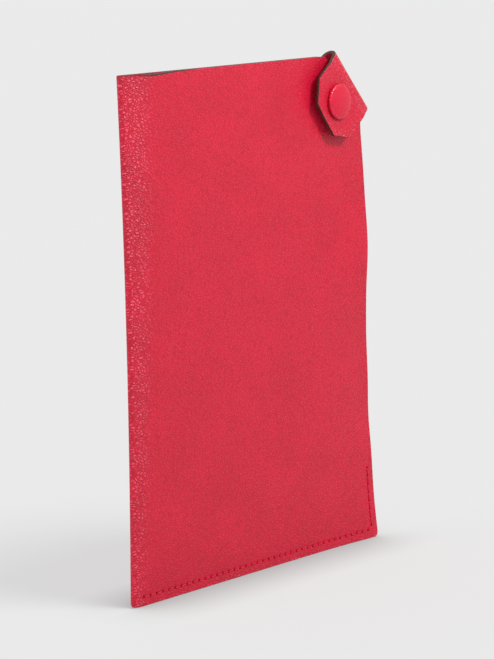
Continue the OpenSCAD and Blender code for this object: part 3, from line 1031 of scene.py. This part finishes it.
def cap_profile(cap_r, cap_h):
    """The cap leather's outer and inner outlines, as (radius, height): the outer one from its
    rim to the middle, the inner one from the middle to the rim."""
    outer = [(CAP_TUCK_R + out, z) for out, z in ((0, 0), (0.12, 0.1), (0.22, 0.25))]
    for a in np.linspace(0, math.pi / 2, 30):
        rho, shoulder = math.cos(a) ** CAP_FULLNESS, math.sin(a) ** CAP_FULLNESS
        rise = (1 - rho ** 2) / 2 + shoulder / 2
        outer.append((cap_r * rho, CAP_BELT + (cap_h - CAP_BELT) * rise))
    dome = 1 - CAP_INNER_BRIM
    inner = [(CAP_INNER_R * math.sin(a), CAP_INNER_H * (CAP_INNER_BRIM + dome * math.cos(a)))
             for a in np.linspace(0, math.pi / 2, 12)]
    outer[-1], inner[0] = (HUB_R, cap_h), (HUB_R, CAP_INNER_H)
    return outer, inner + [(CAP_INNER_R, 0)]


def cap_cover():
    """The leather drawn over the snap's cap and tucked in under its rim."""
    low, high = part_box("cap_cover")
    cap_r, cap_h = (high.x - low.x) / 2 / MM, (high.y - low.y) / MM
    outer, inner = cap_profile(cap_r, cap_h)
    profile, points, flat, wear_and_sheen = outer + inner, [], [], []
    run = run_along(profile)
    for k in range(CAP_TURNS):
        a = 2 * math.pi * k / CAP_TURNS
        for (r, z), at in zip(profile, run):
            pleat = PLEAT_DEPTH * math.cos(PLEATS * a + 2 * math.sin(3 * a))
            pleat *= math.exp(-((z - PLEAT_AT) / PLEAT_REACH) ** 2)
            lift = CAP_TILT * math.sin(a + 1) * (r / cap_r) ** 2 * (z / cap_h)
            reach = r + (pleat if r > CAP_INNER_R else 0)
            points.append(to_frame(SNAP[0] + reach * math.cos(a), SNAP[1] + reach * math.sin(a),
                                   TAB_FACE + z + lift))
            out = max(run[len(outer) - 1] - at, 0)
            flat.append((CAP_SHIFT + out * math.cos(a), out * math.sin(a)))
            wear_and_sheen.append(CAP_PALE_RING * math.exp(-((r - cap_r + CAP_PALE_RING_IN) / CAP_PALE_RING_IN) ** 2)
                        if z > CAP_BELT else 0)
    n = len(profile)
    faces = []
    for k in range(CAP_TURNS):
        one, two = k * n, (k + 1) % CAP_TURNS * n
        faces += [(one + i, two + i, two + (i + 1) % n, one + (i + 1) % n)
                  for i in range(n) if i != len(outer) - 1]
    for i in (len(outer) - 1, len(outer)):
        hub = [k * n + i for k in range(CAP_TURNS)]
        faces.append(hub[::-1] if i == len(outer) else hub)
    made = new_object("cap_leather", points, faces, TIGHT_LEATHER, flat, wear_and_sheen, sharp=50)
    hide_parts("cap_cover")
    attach(made, "tab")


def dress_cad_nodes():
    """The snap's metal and the hidden discs keep their CAD shape and get their finish."""
    metal = ("snap_stud", "stud_rivet", "snap_socket", "socket_spring", "cap_shell")
    for name in metal + ("stud_disc", "tab_disc"):
        materials = frame["nodes"][name].data.materials
        materials.clear()
        materials.append(NICKEL if name in metal else FIBRE)


# ==================== studio and camera
STUDIO_GREY = 0.806  # the even grey all round
FLOOR_REACH = 30  # half its side, in metres
FLOOR_GREY = 0.15  # the floor's own grey, which takes little colour
FLOOR_GLOW = 0.572  # the floor is a light table, so its shadows are faint
CONTACT_SHADOW_REACH = 0.026  # its glow fades this near to the case, in metres: a painted contact shadow
# The lamps' azimuth and elevation in degrees, and their strength
KEY_AT, KEY_STRENGTH = (17, 44), 2.6
KEY_FAR = 0.62
KEY_SIZE = 0.16
FLOOR_KEY_AT, FLOOR_KEY_STRENGTH = (17, 55), 3.05
FLOOR_KEY_SPREAD = math.radians(25)
SIDE_AT, SIDE_STRENGTH = (-92, 18), 0.9
SIDE_SPREAD = math.radians(35)
# The camera, as fitted to the outline in the photograph
VIEW_FROM = (-50.91, 8.17)
VIEW_ROLL = math.radians(-2.26)
VIEW_FAR = 0.8904
VIEW_AIM = Vector((-0.0069, 0.0002, 0.0830))
SENSOR = 36
LENS = 147.5


def grey(value):
    return (value, value, value, 1)


def floor():
    mesh = bpy.data.meshes.new("studio_floor")
    corners = [(x * FLOOR_REACH, y * FLOOR_REACH, 0)
               for x, y in ((-1, -1), (1, -1), (1, 1), (-1, 1))]
    mesh.from_pydata(corners, [], [(0, 1, 2, 3)])
    m = Shader("studio_floor")
    shade = m.add("AmbientOcclusion", {"Distance": CONTACT_SHADOW_REACH}, out=1, samples=16)
    # The glow dims where the case occludes it, a painted contact shadow on the floor
    glow_and_painted_shadow = m.remap(shade, 0.5, 1.0, FLOOR_GLOW * 0.5, FLOOR_GLOW)
    mesh.materials.append(m.finish(Base_Color=grey(FLOOR_GREY),
                                   Emission_Color=grey(1), Emission_Strength=glow_and_painted_shadow,
                                   Roughness=1.0, Specular_IOR_Level=0.0))
    made = place("studio_floor", mesh)
    return made


def towards(azimuth, elevation):
    """The unit direction from the case to a lamp or the camera."""
    a, e = math.radians(azimuth), math.radians(elevation)
    return Vector((math.sin(a) * math.cos(e), -math.cos(a) * math.cos(e), math.sin(e)))


def lamp(name, kind, azimuth, elevation, strength, far=1.0):
    """A light round the case's middle, which it faces."""
    light = bpy.data.lights.new(name, kind)
    light.energy = strength
    made = place(name, light)
    made.location = Vector((0, 0, CASE_H * MM / 2)) + towards(azimuth, elevation) * far
    made.rotation_mode = "QUATERNION"
    made.rotation_quaternion = towards(azimuth, elevation).to_track_quat("Z", "Y")
    return made


def studio():
    world = bpy.data.worlds.new("studio")
    bpy.context.scene.world = world
    world.use_nodes = True
    sky = world.node_tree.nodes["Background"]
    sky.inputs["Color"].default_value = grey(STUDIO_GREY)
    sky.inputs["Strength"].default_value = 1
    bpy.context.scene.view_settings.view_transform = "Standard"

    # A near key gives the leather its falloff, and an even one the floor its shadow
    near = lamp("key", "AREA", *KEY_AT, KEY_STRENGTH, KEY_FAR)
    near.data.shape, near.data.size = "DISK", KEY_SIZE
    even = lamp("floor_key", "SUN", *FLOOR_KEY_AT, FLOOR_KEY_STRENGTH)
    even.data.angle = FLOOR_KEY_SPREAD
    lamp("side", "SUN", *SIDE_AT, SIDE_STRENGTH).data.angle = SIDE_SPREAD
    ground = floor()
    for light, state in ((near, "EXCLUDE"), (even, "INCLUDE")):
        linked = bpy.data.collections.new(light.name + "_floor")
        light.light_linking.receiver_collection = linked
        linked.objects.link(ground)
        linked.collection_objects[0].light_linking.link_state = state


def camera():
    """The photograph's view: from the spine's side, a little above, leaning slightly."""
    data = bpy.data.cameras.new("camera")
    data.sensor_width, data.lens = SENSOR, LENS
    data.clip_start, data.clip_end = 0.05, 100
    made = place("camera", data)
    back = towards(*VIEW_FROM)
    level = (-back).cross(Vector((0, 0, 1))).normalized()
    right = math.cos(VIEW_ROLL) * level + math.sin(VIEW_ROLL) * level.cross(-back)
    turned = Matrix((right, right.cross(-back), back)).transposed().to_4x4()
    made.matrix_world = Matrix.Translation(VIEW_AIM + back * VIEW_FAR) @ turned
    bpy.context.scene.camera = made


camera()
studio()
case_pieces()
strap_pieces()
card_pocket()
stitches("seam_thread_front", SEAMS[0], "top_thread")
stitches("seam_thread_back", SEAMS[1], "bobbin_thread")
cap_cover()
dress_cad_nodes()
